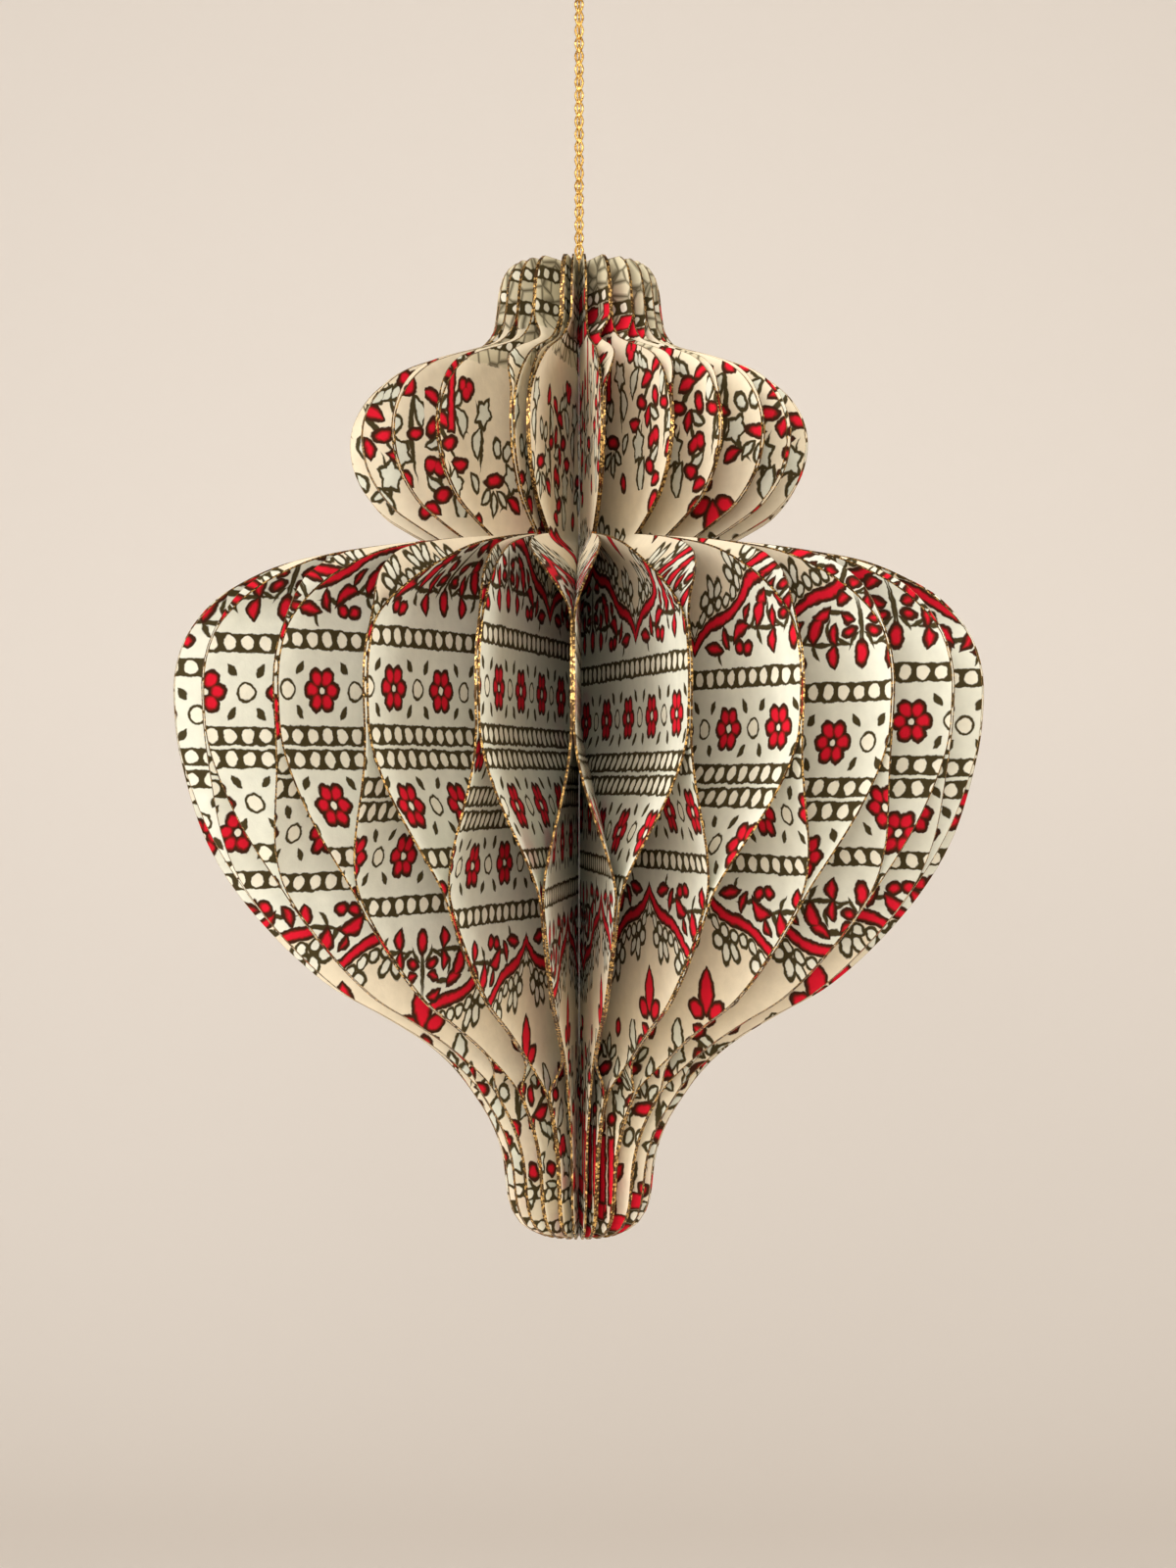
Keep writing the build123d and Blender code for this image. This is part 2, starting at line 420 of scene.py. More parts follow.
def smoothLine(points, count):
    # an even run of points on a Catmull-Rom line through the given ones
    padded = [points[0], *points, points[-1]]
    steps = leafSet["lineSteps"]
    fine = []
    for number in range(1, len(padded) - 2):
        before, here, after, later = (Vector(padded[number + step]) for step in (-1, 0, 1, 2))
        for part in range(steps):
            share = part / steps
            fine.append(
                (here * 2 + (after - before) * share
                 + (before * 2 - here * 5 + after * 4 - later) * share ** 2
                 + (here * 3 - before - after * 3 + later) * share ** 3) / 2
            )
    fine.append(Vector(points[-1]))
    return spreadEvenly(fine, count)


def cutBlank():
    # one flat leaf: radius along X and height along Y, both in millimetres, with a map of the
    # distance from its cut edge
    values = leafSet
    edge = smoothLine(values["body"], values["rows"][0])
    edge += smoothLine(values["head"], values["rows"][1])[1:]
    rows = len(edge) - 1
    columns = values["columns"]
    bpy.ops.mesh.primitive_grid_add(
        x_subdivisions=columns, y_subdivisions=rows, size=1, location=(0, 0, 0)
    )
    blank = bpy.context.object
    blank.name = "leafBlank"
    for vertex in blank.data.vertices:
        column = round((vertex.co.x + 0.5) * columns)
        row = round((vertex.co.y + 0.5) * rows)
        radius, height = edge[row]
        before, after = edge[max(row - 1, 0)], edge[min(row + 1, rows)]
        run = (after - before).normalized()
        inset = values["rimColumn"] / max(abs(run.y), values["leastSlope"])
        inner = radius - inset - values["spineRadius"]
        if column == columns:
            reach = radius
        else:
            share = column / (columns - 1)
            reach = values["spineRadius"] + inner * share
        vertex.co = (reach, height, 0)
    edgeMap = blank.data.uv_layers.new(name="edgeMap")
    for loop in blank.data.loops:
        reach, height = blank.data.vertices[loop.vertex_index].co.xy
        near = min((Vector((reach, height)) - point).length for point in edge)
        near = min(near, height, values["height"] - height)
        edgeMap.data[loop.index].uv = (min(near, values["edgeReach"]) / edgeScale, 0)
    print("leaf blank", columns, "by", rows)
    return blank


# Glued bands from the neck down: lowest and highest level, whether the two leaves at the
# front seam are a pair there, how far each of them stands off its place, and how far each pair
# is turned. Turns are shares of the pairs' pitch, from the fourth pair left of the front.
bandSet = [
    {"low": 141.04, "high": 153.2, "seam": True, "open": 0.34,
     "turns": (0.0, -0.07, -0.15, 0.30, 0.0, 0.55, 0.70, 0.50, 0.27, 0.07, 0.0)},
    {"low": 107.04, "high": 127.96, "seam": False, "open": 0.0,
     "turns": (0.17, 0.19, 0.52, -0.29, -0.13, -0.02, -0.15, -0.20, -0.42, -0.25, -0.07)},
    {"low": 78.03, "high": 92.0, "seam": True, "open": 0.0,
     "turns": (0.07, 0.26, 0.22, 0.20, -0.04, -0.09, -0.09, -0.08, -0.09, -0.09, -0.09)},
    {"low": 29.95, "high": 52.98, "seam": False, "open": 0.0,
     "turns": (0.10, 0.20, 0.23, 0.16, -0.12, -0.22, -0.13, -0.08, -0.05, 0.0, 0.04)},
    {"low": -3.0, "high": 23.03, "seam": True, "open": 0.38,
     "turns": (0.05, 0.0, 0.05, 0.0, 0.02, -0.12, -0.17, -0.07, 0.0, 0.03, 0.0)},
]
# the radius at which the turn from one band to the next takes up all the height between them
foldReach = (28.24, 57.75, 52.79, 18.01)
# the first pair that has a turn above, the small wave of turns for the pairs out of view, and
# the least reach from the spine to reckon with
turnSet = {"firstPair": -4, "wave": 0.10, "waveStep": 137.5, "leastReach": 0.001}


def leafSwing(leaf, band):
    # angle from a leaf's slot to the direction it takes in a band, in degrees
    pitch = 360 / leafSet["count"]
    pair = (leaf + 1) // 2 if band["seam"] else leaf // 2
    place = pair * 2 * pitch if band["seam"] else (pair * 2 + 1) * pitch
    if pair > leafSet["count"] / 4:
        pair -= leafSet["count"] // 2
    entry = pair - turnSet["firstPair"]
    if 0 <= entry < len(band["turns"]):
        turn = band["turns"][entry]
    else:
        turn = turnSet["wave"] * math.sin(math.radians(pair * turnSet["waveStep"]))
    if pair == 0 and band["seam"]:
        turn += band["open"] if leaf == 0 else -band["open"]
    return place + turn * 2 * pitch - (leaf + 0.5) * pitch


def swingAt(swings, reach, height):
    # a leaf's angle at a point: even in each band, and eased from one band to the next along
    # lines that fan out from the spine
    for number, measured in enumerate(foldReach):
        top, bottom = bandSet[number]["low"], bandSet[number + 1]["high"]
        if height >= top:
            return swings[number]
        share = (top - height) * (measured - leafSet["spineRadius"])
        share /= max(reach, turnSet["leastReach"])
        share /= top - bottom
        if share < 1:
            ease = share * share * (3 - 2 * share)
            return swings[number] + (swings[number + 1] - swings[number]) * ease
    return swings[-1]


# How far the print has drifted on each leaf before it was cut, in millimetres: across, up,
# and the ogee stripe's further drift across. Leaf 0 is just right of the front seam.
# Leaves that aren't named drift by a wave: its size, its step from leaf to leaf and its start.
driftWaves = ((3.0, 2.1, 0.0), (2.6, 1.3, 0.8), (12.0, 1.7, 0.0))
printDrift = {
    1: (0.0, -0.3, 0.5), 2: (-1.0, 2.6, -2.5), 3: (0.2, -2.0, 0.0), 4: (3.7, 2.1, -6.5),
    5: (-4.9, -3.9, 1.5), 6: (2.0, 3.1, -10.6), 7: (-0.8, -0.7, -6.0), 8: (-2.2, 2.2, 6.0),
    9: (-3.5, -1.0, -14.0), 10: (1.5, 2.4, 4.0), 46: (-4.8, 3.3, -9.0), 45: (1.5, -5.0, -12.5),
    44: (-1.1, 3.3, -17.1), 43: (0.0, -3.8, -21.1), 42: (-2.6, 3.3, -21.2),
    41: (4.0, -0.6, -9.0), 40: (5.3, 3.5, -16.0), 39: (-1.5, -0.7, 5.0), 38: (-4.3, 0.6, -7.0),
    37: (1.0, -1.6, 10.0),
}


def makeLeaf(leaf, blank, materials):
    # one leaf cut from the blank, printed with its own drift and turned band by band
    values = leafSet
    mesh = blank.data.copy()
    piece = bpy.data.objects.new("leaf", mesh)
    bpy.context.scene.collection.objects.link(piece)
    for material in materials:
        mesh.materials.append(material)
    guessed = [size * math.sin(leaf * step + start) for size, step, start in driftWaves]
    across, up, ogee = printDrift.get(leaf, guessed)
    printMap = mesh.uv_layers.new(name="printMap")
    for loop in mesh.loops:
        reach, height = mesh.vertices[loop.vertex_index].co.xy
        printMap.data[loop.index].uv = (
            (reach - across) / printScale, (height - up) / printScale
        )
    for entry in mesh.uv_layers["edgeMap"].data:
        entry.uv.y = ogee / printScale
    for face in mesh.polygons:
        middle = abs(face.center.y - up - printSet["middle"])
        face.material_index = sum(middle > limit for limit in printSet["zones"])
    swings = [leafSwing(leaf, band) for band in bandSet]
    azimuth = math.radians(-90 + (leaf + 0.5) * 360 / values["count"])
    turn = Matrix.Rotation(azimuth, 3, "Z")
    for vertex in mesh.vertices:
        reach, height = vertex.co.x - values["spineRadius"], vertex.co.y
        side = reach * math.tan(math.radians(swingAt(swings, reach, height)))
        place = turn @ Vector((values["spineRadius"] + reach, side, 0))
        place.z = values["tipLevel"] + height
        vertex.co = place * mm
    selectOnly(piece)
    card = piece.modifiers.new("card", "SOLIDIFY")
    card.thickness = values["thickness"] * mm
    card.offset = 0
    # the cut edge takes the last material, the glitter
    card.material_offset_rim = len(materials) - 1
    bpy.ops.object.modifier_apply(modifier="card")
    bpy.ops.object.shade_smooth_by_angle(angle=math.radians(values["smoothAngle"]))
    finishPiece(
        piece, f"printedLeaf{leaf + 1:02d}", [f"leaf_{leaf + 1:02d}"]
    )


# Print: traditional block print in red, dark olive and grey on cream. Up and down from the
# middle of the double dotted band it is the same, but for the net at the neck, the further
# sprays at the stem and the place of the red bars. All of it is a rule in flat millimetres.

inkSet = {
    # grounds: beyond the ogee stripe, below it, and under the net
    "cream": "#E0D2B5",
    "paleGreen": "#DBD9C6",
    "neck": "#CFC4A4",
    # the dark block, and what shows pale inside it
    "olive": "#40361C",
    "dotCream": "#E6DFC8",
    "petal": "#DDDAC6",
    "grey": "#D2D1BD",
    # the red block, from its middle to its rim
    "red": "#D2142A",
    "deepRed": "#841712",
    "redEdge": "#3A1D0C",
}

# middle: level of the double band. zones: how far from it the flowers and the ogee end.
# ogeeLow: where the stripe is lowest on a leaf that hasn't drifted.
printSet = {
    "middle": 71.5, "zones": (15.1, 38.5), "ogeePeriod": 51.2, "ogeeLow": 35.0,
    "groundSharp": 4.0, "wanderScale": 0.8, "wanderDetail": 2.0, "wander": 0.8,
}

# how sharply an ink ends, and how far each layer reaches past the edge of its shape
layerSet = {
    "sharp": 7.0, "outline": 0.18, "paleRim": 0.50,
    "redSharp": 4.0, "redOutline": 0.24, "redDark": 0.22, "redRim": 0.42,
}

# slope: how fast the distance grows past the edge, as a share of the half width
formSet = {"leafSlope": 0.8, "ivySlope": 0.7, "ivyPoints": 5, "ivyValley": 0.95}


def length2d(tree, across, up):
    flat = addNode(tree, "ShaderNodeCombineXYZ", {}, {0: across, 1: up})
    return addNode(tree, "ShaderNodeVectorMath", {"operation": "LENGTH"}, {0: flat}, "Value")


def stampShapes(tree, plane, shapes):
    # distance in millimetres to the nearest of several shapes: place, half sizes and turn.
    # A sixth value makes an oval a pointed leaf with that bend, or an ivy leaf ("ivy").
    nearest = None
    for across, up, halfLength, halfWidth, turn, *form in shapes:
        local = addNode(
            tree, "ShaderNodeMapping", {"vector_type": "TEXTURE"},
            {0: plane, 1: (across, up, 0), 2: (0, 0, math.radians(turn)),
             3: (halfLength, halfWidth, 1)},
        )
        slope = halfWidth
        if form:
            along = addNode(tree, "ShaderNodeSeparateXYZ", {}, {0: local}, "X")
            aside = addNode(tree, "ShaderNodeSeparateXYZ", {}, {0: local}, "Y")
        if form == ["ivy"]:
            reach = ivyReach(tree, local, along, aside)
            slope *= formSet["ivySlope"]
        elif form:
            reach = leafReach(tree, along, aside, form[0])
            slope *= formSet["leafSlope"]
        else:
            reach = addNode(
                tree, "ShaderNodeVectorMath", {"operation": "LENGTH"}, {0: local}, "Value"
            )
        away = addNode(
            tree, "ShaderNodeMath", {"operation": "MULTIPLY_ADD"},
            {0: reach, 1: slope, 2: -slope},
        )
        nearest = away if nearest is None else addNode(
            tree, "ShaderNodeMath", {"operation": "MINIMUM"}, {0: nearest, 1: away}
        )
    return nearest


def leafReach(tree, along, aside, bend):
    # 1 on the edge of a leaf with two points
    square = addNode(tree, "ShaderNodeMath", {"operation": "MULTIPLY"}, {0: along, 1: along})
    if bend:
        aside = addNode(
            tree, "ShaderNodeMath", {"operation": "MULTIPLY_ADD"},
            {0: square, 1: -bend, 2: aside},
        )
    aside = addNode(tree, "ShaderNodeMath", {"operation": "ABSOLUTE"}, {0: aside})
    return addNode(tree, "ShaderNodeMath", {"operation": "ADD"}, {0: square, 1: aside})


def ivyReach(tree, local, along, aside):
    # 1 on the edge of a leaf with five points, drawn in between them
    half = math.pi / formSet["ivyPoints"]
    angle = addNode(tree, "ShaderNodeMath", {"operation": "ARCTAN2"}, {0: aside, 1: along})
    angle = addNode(
        tree, "ShaderNodeMath", {"operation": "WRAP"}, {0: angle, 1: half, 2: -half}
    )
    angle = addNode(tree, "ShaderNodeMath", {"operation": "ABSOLUTE"}, {0: angle})
    valley = addNode(
        tree, "ShaderNodeMath", {"operation": "MULTIPLY_ADD"},
        {0: angle, 1: formSet["ivyValley"], 2: 1.0},
    )
    reach = addNode(tree, "ShaderNodeVectorMath", {"operation": "LENGTH"}, {0: local}, "Value")
    return addNode(tree, "ShaderNodeMath", {"operation": "MULTIPLY"}, {0: reach, 1: valley})


def layInk(tree, colour, distance, ink, spread=0.0, sharp=layerSet["sharp"]):
    # lays one ink over the colour, out to spread millimetres past the shape's edge
    cover = addNode(
        tree, "ShaderNodeMath", {"operation": "MULTIPLY_ADD", "use_clamp": True},
        {0: distance, 1: -sharp, 2: 0.5 + sharp * spread},
    )
    return addNode(
        tree, "ShaderNodeMixRGB", {}, {0: cover, 1: colour, 2: linearColour(inkSet[ink])}
    )


def layOutlined(tree, colour, distance, ink):
    # a pale shape with a rim of the dark block
    colour = layInk(tree, colour, distance, "olive", layerSet["outline"])
    return layInk(tree, colour, distance, ink, layerSet["outline"] - layerSet["paleRim"])


def layRed(tree, colour, distance, rim=layerSet["redRim"]):
    # the red block inside a rim of the dark one: it dries darker towards the rim
    colour = layInk(tree, colour, distance, "redEdge", layerSet["redOutline"])
    colour = layInk(tree, colour, distance, "deepRed", layerSet["redDark"] - rim)
    return layInk(tree, colour, distance, "red", -rim, layerSet["redSharp"])


def repeatAlong(tree, value, phase, period):
    # the distance from the nearest of the repeats, with its sign
    moved = addNode(tree, "ShaderNodeMath", {"operation": "SUBTRACT"}, {0: value, 1: phase})
    return addNode(
        tree, "ShaderNodeMath", {"operation": "WRAP"}, {0: moved, 1: period / 2, 2: -period / 2}
    )


def mirrorAlong(tree, value, phase, period):
    # the same distance without its sign
    moved = repeatAlong(tree, value, phase, period)
    return addNode(tree, "ShaderNodeMath", {"operation": "ABSOLUTE"}, {0: moved})


def boxAround(tree, across, up, place, halfSizes):
    # distance past the nearest side of an upright block
    sides = []
    for value, middle, half in zip((across, up), place, halfSizes):
        side = addNode(tree, "ShaderNodeMath", {"operation": "SUBTRACT"}, {0: value, 1: middle})
        side = addNode(tree, "ShaderNodeMath", {"operation": "ABSOLUTE"}, {0: side})
        sides.append(
            addNode(tree, "ShaderNodeMath", {"operation": "SUBTRACT"}, {0: side, 1: half})
        )
    return addNode(tree, "ShaderNodeMath", {"operation": "MAXIMUM"}, {0: sides[0], 1: sides[1]})


def layDotBand(tree, colour, across, up, values):
    # a dark band with a row of cream dots
    height = addNode(tree, "ShaderNodeMath", {"operation": "ABSOLUTE"}, {0: up})
    band = addNode(
        tree, "ShaderNodeMath", {"operation": "SUBTRACT"}, {0: height, 1: values["bandHalf"]}
    )
    colour = layInk(tree, colour, band, "olive")
    side = repeatAlong(tree, across, values["dotPhase"], values["dotPitch"])
    plane = addNode(tree, "ShaderNodeCombineXYZ", {}, {0: side, 1: up})
    dot = stampShapes(tree, plane, [(0, 0, *values["dot"])])
    return layInk(tree, colour, dot, "dotCream")


# levels of the inner and outer bands, and where one gives way to the other. dot: half sizes
# and turn.
bandPrint = {
    "inner": 1.65, "outer": 15.1, "split": 8.4,
    "bandHalf": 1.40, "dotPhase": 0.0, "dotPitch": 2.8, "dot": (1.03, 0.96, 78),
}


def printBands(tree, colour, across, away):
    # a dotted band on each side of the middle, and one further out
    values = bandPrint
    outer = addNode(
        tree, "ShaderNodeMath", {"operation": "GREATER_THAN"}, {0: away, 1: values["split"]}
    )
    level = addNode(
        tree, "ShaderNodeMath", {"operation": "MULTIPLY_ADD"},
        {0: outer, 1: values["outer"] - values["inner"], 2: values["inner"]},
    )
    up = addNode(tree, "ShaderNodeMath", {"operation": "SUBTRACT"}, {0: away, 1: level})
    return layDotBand(tree, colour, across, up, values)


# petal and mark: place, half sizes and turn, and the mark's bend
flowerPrint = {
    "level": 8.0, "pitch": 12.8, "phase": 5.8,
    "petals": 6, "petal": (1.88, 0, 1.30, 1.14, 0), "rim": 0.44, "core": 1.9, "centre": 0.52,
    "ring": 1.32, "ringWidth": 0.20, "mark": (2.25, 3.1, 1.15, 0.58, 54, 0),
}


def printFlowerRow(tree, colour, across, away):
    # six-petalled flowers and open rings in turn, with four small leaves round each ring
    values = flowerPrint
    up = addNode(tree, "ShaderNodeMath", {"operation": "SUBTRACT"}, {0: away, 1: values["level"]})
    side = repeatAlong(tree, across, values["phase"], values["pitch"])
    reach = length2d(tree, side, up)
    angle = addNode(tree, "ShaderNodeMath", {"operation": "ARCTAN2"}, {0: up, 1: side})
    half = math.pi / values["petals"]
    petalAngle = addNode(
        tree, "ShaderNodeMath", {"operation": "WRAP"}, {0: angle, 1: half, 2: -half}
    )
    cosine = addNode(tree, "ShaderNodeMath", {"operation": "COSINE"}, {0: petalAngle})
    sine = addNode(tree, "ShaderNodeMath", {"operation": "SINE"}, {0: petalAngle})
    outward = addNode(tree, "ShaderNodeMath", {"operation": "MULTIPLY"}, {0: reach, 1: cosine})
    sideways = addNode(tree, "ShaderNodeMath", {"operation": "MULTIPLY"}, {0: reach, 1: sine})
    plane = addNode(tree, "ShaderNodeCombineXYZ", {}, {0: outward, 1: sideways})
    petal = stampShapes(tree, plane, [values["petal"]])
    core = addNode(
        tree, "ShaderNodeMath", {"operation": "SUBTRACT"}, {0: reach, 1: values["core"]}
    )
    centre = addNode(
        tree, "ShaderNodeMath", {"operation": "SUBTRACT"}, {0: reach, 1: values["centre"]}
    )
    colour = layInk(tree, colour, core, "redEdge")
    colour = layRed(tree, colour, petal, values["rim"])
    colour = layInk(tree, colour, centre, "dotCream")
    ringSide = repeatAlong(tree, across, values["phase"] + values["pitch"] / 2, values["pitch"])
    ringReach = length2d(tree, ringSide, up)
    inside = addNode(
        tree, "ShaderNodeMath", {"operation": "SUBTRACT"}, {0: ringReach, 1: values["ring"]}
    )
    colour = layInk(tree, colour, inside, "dotCream")
    ringLine = addNode(tree, "ShaderNodeMath", {"operation": "ABSOLUTE"}, {0: inside})
    colour = layInk(tree, colour, ringLine, "olive", values["ringWidth"])
    markSide = addNode(tree, "ShaderNodeMath", {"operation": "ABSOLUTE"}, {0: ringSide})
    markUp = addNode(tree, "ShaderNodeMath", {"operation": "ABSOLUTE"}, {0: up})
    markPlane = addNode(tree, "ShaderNodeCombineXYZ", {}, {0: markSide, 1: markUp})
    mark = stampShapes(tree, markPlane, [values["mark"]])
    return layInk(tree, colour, mark, "olive")


ogeePrint = {
    # the stripe: its lowest level, its climb to the peak, a ripple on it, and its half width
    "low": 19.4, "rise": 12.0, "power": 0.82, "ripple": 0.6, "ripples": 2,
    "half": 0.92, "rim": 0.46,
    "beadLevel": 2.35, "beadPitch": 2.13, "bead": (1.0, 1.0, 0),
    # a fan of three petals beyond every fourth bead
    "fanPitch": 8.53, "fanPhase": 4.6,
    "fan": [(-1.8, 4.4, 1.6, 0.95, 132), (0.0, 5.1, 1.8, 1.0, 96), (1.9, 4.5, 1.6, 0.95, 52)],
    # red sprays and dark twigs under the stripe, from its peak: place, half sizes and turn
    "sprays": [
        (20.2, 19.3, 2.4, 0.85, 8, 0), (17.3, 20.5, 1.7, 0.7, 63, 0.5),
        (13.5, 21.9, 2.4, 1.05, 152, 0.9), (11.9, 24.2, 1.4, 0.6, 120, 0.6),
        (13.6, 19.3, 1.1, 0.9, 20), (11.4, 19.1, 1.1, 0.9, 160),
        (8.6, 24.0, 2.2, 1.2, 118, 0.5), (7.0, 25.8, 1.8, 0.85, 158, -0.6),
        (5.2, 23.1, 1.5, 0.8, 90, 0.5), (5.3, 20.0, 1.6, 1.0, 90, 0.4),
        (2.5, 25.3, 1.3, 0.7, 20, 0.5), (2.2, 23.5, 1.2, 0.7, 165),
        (2.6, 28.3, 1.6, 0.8, 165, 0.6), (0.0, 20.4, 1.7, 1.1, 90),
    ],
    "twigs": [
        (7.6, 21.7, 5.4, 0.40, 2, 1.6), (8.6, 20.6, 1.5, 0.42, 60, 0.8),
        (10.3, 22.6, 1.6, 0.42, 120, -0.8), (0.2, 24.6, 4.4, 0.28, 90, 0),
        (5.0, 26.2, 1.9, 0.5, 6, 1.0),
        (15.6, 20.6, 3.2, 0.40, 10, -1.5), (3.4, 22.1, 1.9, 0.36, 25, 1.2),
        (1.6, 22.4, 1.6, 0.36, 130, 1.0), (18.9, 18.0, 1.3, 0.36, 70, 0.8),
        (6.3, 24.0, 1.5, 0.36, 100, 1.0),
    ],
    # red bud with a petal on each side, over each low point of the stripe
    "fleur": [(0.0, 34.0, 3.5, 1.7, 90, 0), (2.3, 36.6, 1.9, 1.25, 150)],
}


def printOgee(tree, across, away, lowPoint):
    # an ogee stripe with beads and petals beyond it, red sprays below and a red bud above
    values = ogeePrint
    half = printSet["ogeePeriod"] / 2
    fromLow = mirrorAlong(tree, across, lowPoint, printSet["ogeePeriod"])
    fromPeak = addNode(tree, "ShaderNodeMath", {"operation": "SUBTRACT"}, {0: half, 1: fromLow})
    climb = addNode(tree, "ShaderNodeMath", {"operation": "DIVIDE"}, {0: fromLow, 1: half})
    eased = addNode(
        tree, "ShaderNodeMath", {"operation": "POWER"}, {0: climb, 1: values["power"]}
    )
    level = addNode(
        tree, "ShaderNodeMath", {"operation": "MULTIPLY_ADD"},
        {0: eased, 1: values["rise"], 2: values["low"]},
    )
    ripple = addNode(
        tree, "ShaderNodeMath", {"operation": "MULTIPLY"},
        {0: fromLow, 1: 2 * math.pi * values["ripples"] / half},
    )
    ripple = addNode(tree, "ShaderNodeMath", {"operation": "SINE"}, {0: ripple})
    level = addNode(
        tree, "ShaderNodeMath", {"operation": "MULTIPLY_ADD"},
        {0: ripple, 1: values["ripple"], 2: level},
    )
    beyond = addNode(tree, "ShaderNodeMath", {"operation": "SUBTRACT"}, {0: away, 1: level})
    # cream beyond the stripe, pale green below it
    past = addNode(
        tree, "ShaderNodeMath", {"operation": "MULTIPLY_ADD", "use_clamp": True},
        {0: beyond, 1: printSet["groundSharp"], 2: -printSet["groundSharp"] / 2},
    )
    colour = addNode(
        tree, "ShaderNodeMixRGB", {},
        {0: past, 1: linearColour(inkSet["paleGreen"]), 2: linearColour(inkSet["cream"])},
    )
    fanSide = repeatAlong(tree, fromLow, values["fanPhase"], values["fanPitch"])
    fanPlane = addNode(tree, "ShaderNodeCombineXYZ", {}, {0: fanSide, 1: beyond})
    colour = layOutlined(tree, colour, stampShapes(tree, fanPlane, values["fan"]), "petal")
    beadSide = repeatAlong(tree, fromLow, 0.0, values["beadPitch"])
    beadUp = addNode(
        tree, "ShaderNodeMath", {"operation": "SUBTRACT"}, {0: beyond, 1: values["beadLevel"]}
    )
    beadPlane = addNode(tree, "ShaderNodeCombineXYZ", {}, {0: beadSide, 1: beadUp})
    bead = stampShapes(tree, beadPlane, [(0, 0, *values["bead"])])
    colour = layOutlined(tree, colour, bead, "petal")
    stripe = addNode(tree, "ShaderNodeMath", {"operation": "ABSOLUTE"}, {0: beyond})
    stripe = addNode(
        tree, "ShaderNodeMath", {"operation": "SUBTRACT"}, {0: stripe, 1: values["half"]}
    )
    colour = layRed(tree, colour, stripe, values["rim"])
    plane = addNode(tree, "ShaderNodeCombineXYZ", {}, {0: fromPeak, 1: away})
    twig = stampShapes(tree, plane, values["twigs"])
    colour = layInk(tree, colour, twig, "olive")
    colour = layRed(tree, colour, stampShapes(tree, plane, values["sprays"]))
    lowPlane = addNode(tree, "ShaderNodeCombineXYZ", {}, {0: fromLow, 1: away})
    return layRed(tree, colour, stampShapes(tree, lowPlane, values["fleur"]))


